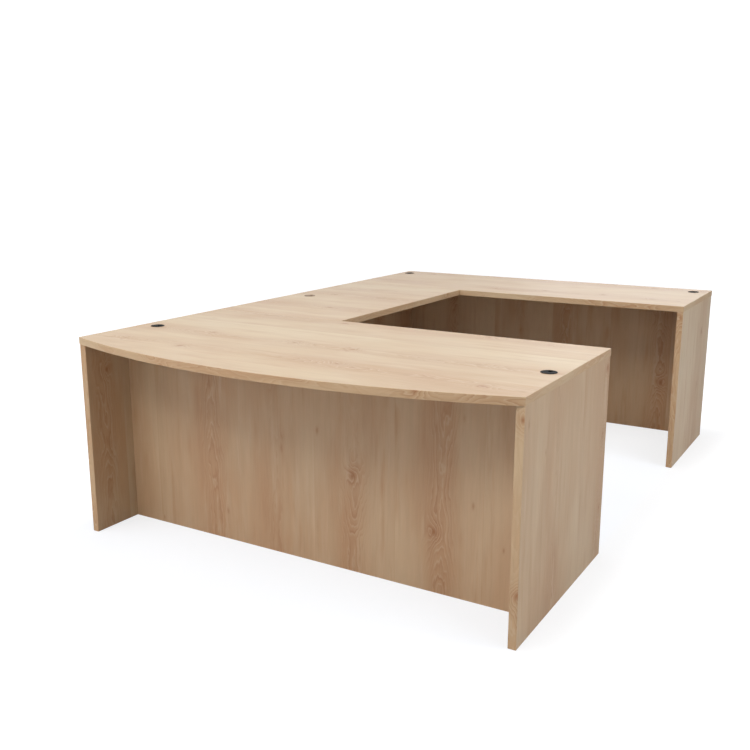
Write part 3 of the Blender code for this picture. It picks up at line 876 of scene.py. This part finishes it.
def dress_boards():
    """Every top has its grain along X, and every upright board has its grain upright."""
    for name in ("desk_top", "bridge_top", "credenza_top"):
        dress_board(name, "X", "Y", "Z", raw_below=False)
        for side, grain in (("front", "X"), ("rear", "X"), ("left", "Y"), ("right", "Y")):
            dress_band(name, side, grain, "Z")
    for shell in ("desk", "credenza"):
        for side in ("left", "right"):
            name = f"{shell}_end_panel_{side}"
            dress_board(name, "Z", "Y", "X", raw_below=True)
            for end in ("front", "rear"):
                dress_band(name, end, "Z", "X")
    dress_board("desk_modesty_panel", "Z", "X", "Y", raw_below=True)
    dress_board("credenza_back_panel", "Z", "X", "Y", raw_below=True)
    dress_board("bridge_modesty_panel", "Z", "Y", "X", raw_below=True)


# ---------------------------------------------------------------- stage, light and camera

STAGE_SIZE = 120.0
SURROUND_RADIUS = 90.0
SURROUND_GLOW = 1.34


def plane(name, size, height, material):
    """A level square of the stage."""
    half = size / 2
    data = bpy.data.meshes.new(name)
    corners = [(-half, -half, height), (half, -half, height), (half, half, height), (-half, half, height)]
    data.from_pydata(corners, [], [(0, 1, 2, 3)])
    floor = bpy.data.objects.new(name, data)
    bpy.context.scene.collection.objects.link(floor)
    data.materials.append(material)
    return floor


def build_stage():
    """A white floor for the camera, a plain one that bounces light, and a white surround that shows
    in reflections."""
    shown = plane("floor", STAGE_SIZE, -0.2 * MM, pale_floor())
    shown.visible_diffuse = False
    shown.visible_glossy = False
    shown.visible_shadow = False
    bounce_material, _, shader = new_material("floor_bounce")
    shader.inputs["Base Color"].default_value = (0.75, 0.75, 0.75, 1.0)
    shader.inputs["Roughness"].default_value = 0.9
    bounce = plane("floor_bounce", STAGE_SIZE, -0.4 * MM, bounce_material)
    bounce.visible_camera = False

    mesh = bmesh.new()
    bmesh.ops.create_icosphere(mesh, subdivisions=4, radius=SURROUND_RADIUS)
    data = bpy.data.meshes.new("surround")
    mesh.to_mesh(data)
    mesh.free()
    data.materials.append(white_glow("surround_glow", SURROUND_GLOW))
    surround = bpy.data.objects.new("surround", data)
    bpy.context.scene.collection.objects.link(surround)
    surround.visible_diffuse = False
    surround.visible_shadow = False


def area_light(name, at, aim, size, power, colour=(1.0, 1.0, 1.0)):
    """A soft box at one place, turned to another."""
    data = bpy.data.lights.new(name, "AREA")
    data.shape = "RECTANGLE"
    data.size, data.size_y = size
    data.energy = power
    data.color = colour
    light = bpy.data.objects.new(name, data)
    bpy.context.scene.collection.objects.link(light)
    light.location = at
    light.rotation_euler = (Vector(aim) - Vector(at)).to_track_quat("-Z", "Y").to_euler()


def build_lights():
    """Seven soft boxes, each with its place, aim, size, power and colour: the overhead and the high
    front one are a little warm, and the right front one a little cool."""
    warm, cool = (1.0, 0.92, 0.82), (0.91, 0.99, 1.0)
    area_light("overhead", (-0.2, -0.1, 4.6), (0.0, 0.0, 0.7), (5.0, 5.0), 90.0, warm)
    area_light("front_high", (-0.6, -3.9, 3.9), (0.0, -0.6, 0.4), (4.0, 1.6), 100.0, warm)
    area_light("front", (-0.6, -5.2, 2.4), (0.0, -0.6, 0.4), (4.5, 1.8), 16.0)
    area_light("left_front", (-4.2, -3.6, 2.6), (0.0, -0.6, 0.4), (2.5, 2.0), 62.0)
    area_light("right_high", (3.9, -0.1, 3.9), (0.4, 0.0, 0.4), (1.6, 4.0), 85.0)
    area_light("right_front", (4.6, -1.9, 3.2), (0.3, -0.3, 0.4), (2.5, 2.0), 41.0, cool)
    area_light("back", (0.3, 5.6, 2.6), (0.0, 0.8, 0.5), (4.5, 2.6), 33.0)
    world = bpy.data.worlds.new("studio")
    bpy.context.scene.world = world
    world.use_nodes = True
    world.node_tree.nodes["Background"].inputs["Strength"].default_value = 0.0
    view = bpy.context.scene.view_settings
    view.view_transform = "Standard"
    view.look = "None"


def build_camera():
    """The camera at the photograph's angle."""
    data = bpy.data.cameras.new("camera")
    data.lens = CAMERA_LENS
    data.sensor_width = 36.0
    data.clip_start = 0.05
    data.clip_end = 300.0
    camera = bpy.data.objects.new("camera", data)
    bpy.context.scene.collection.objects.link(camera)
    camera.location = CAMERA_AT
    heading, dip = math.radians(CAMERA_HEADING), math.radians(CAMERA_DIP)
    camera.rotation_euler = (math.pi / 2 - dip, 0.0, -heading)
    bpy.context.scene.camera = camera


FIGURE = figure_group()
PLANKS = plank_group(FIGURE)
dress_boards()

# Each plastic's name, colour, roughness, grain per metre, depth of that grain and gloss
BLACK = moulded_plastic("black_plastic_moulded", (0.016, 0.017, 0.019), 0.55, 2600.0, 0.04 * MM, 0.04)
TAUPE = moulded_plastic("taupe_plastic_moulded", (0.300, 0.215, 0.160), 0.50, 2600.0, 0.04 * MM, 0.20)
NYLON = moulded_plastic("glide_nylon_moulded", (0.032, 0.032, 0.034), 0.45, 1800.0, 0.05 * MM)
ZINC = zinc_plate("zinc_plated_steel")
COVER = moulded_plastic("cam_cover_plastic", (0.480, 0.315, 0.185), 0.40, 2200.0, 0.03 * MM)
SCREW = screw_mesh(radius=4.6 * MM, height=2.0 * MM)
dress_grommets(BLACK, TAUPE)
dress_glides(NYLON, ZINC)
dress_plates(SCREW, ZINC)
dress_brackets(SCREW, ZINC)
dress_cams(COVER)

build_stage()
build_lights()
build_camera()
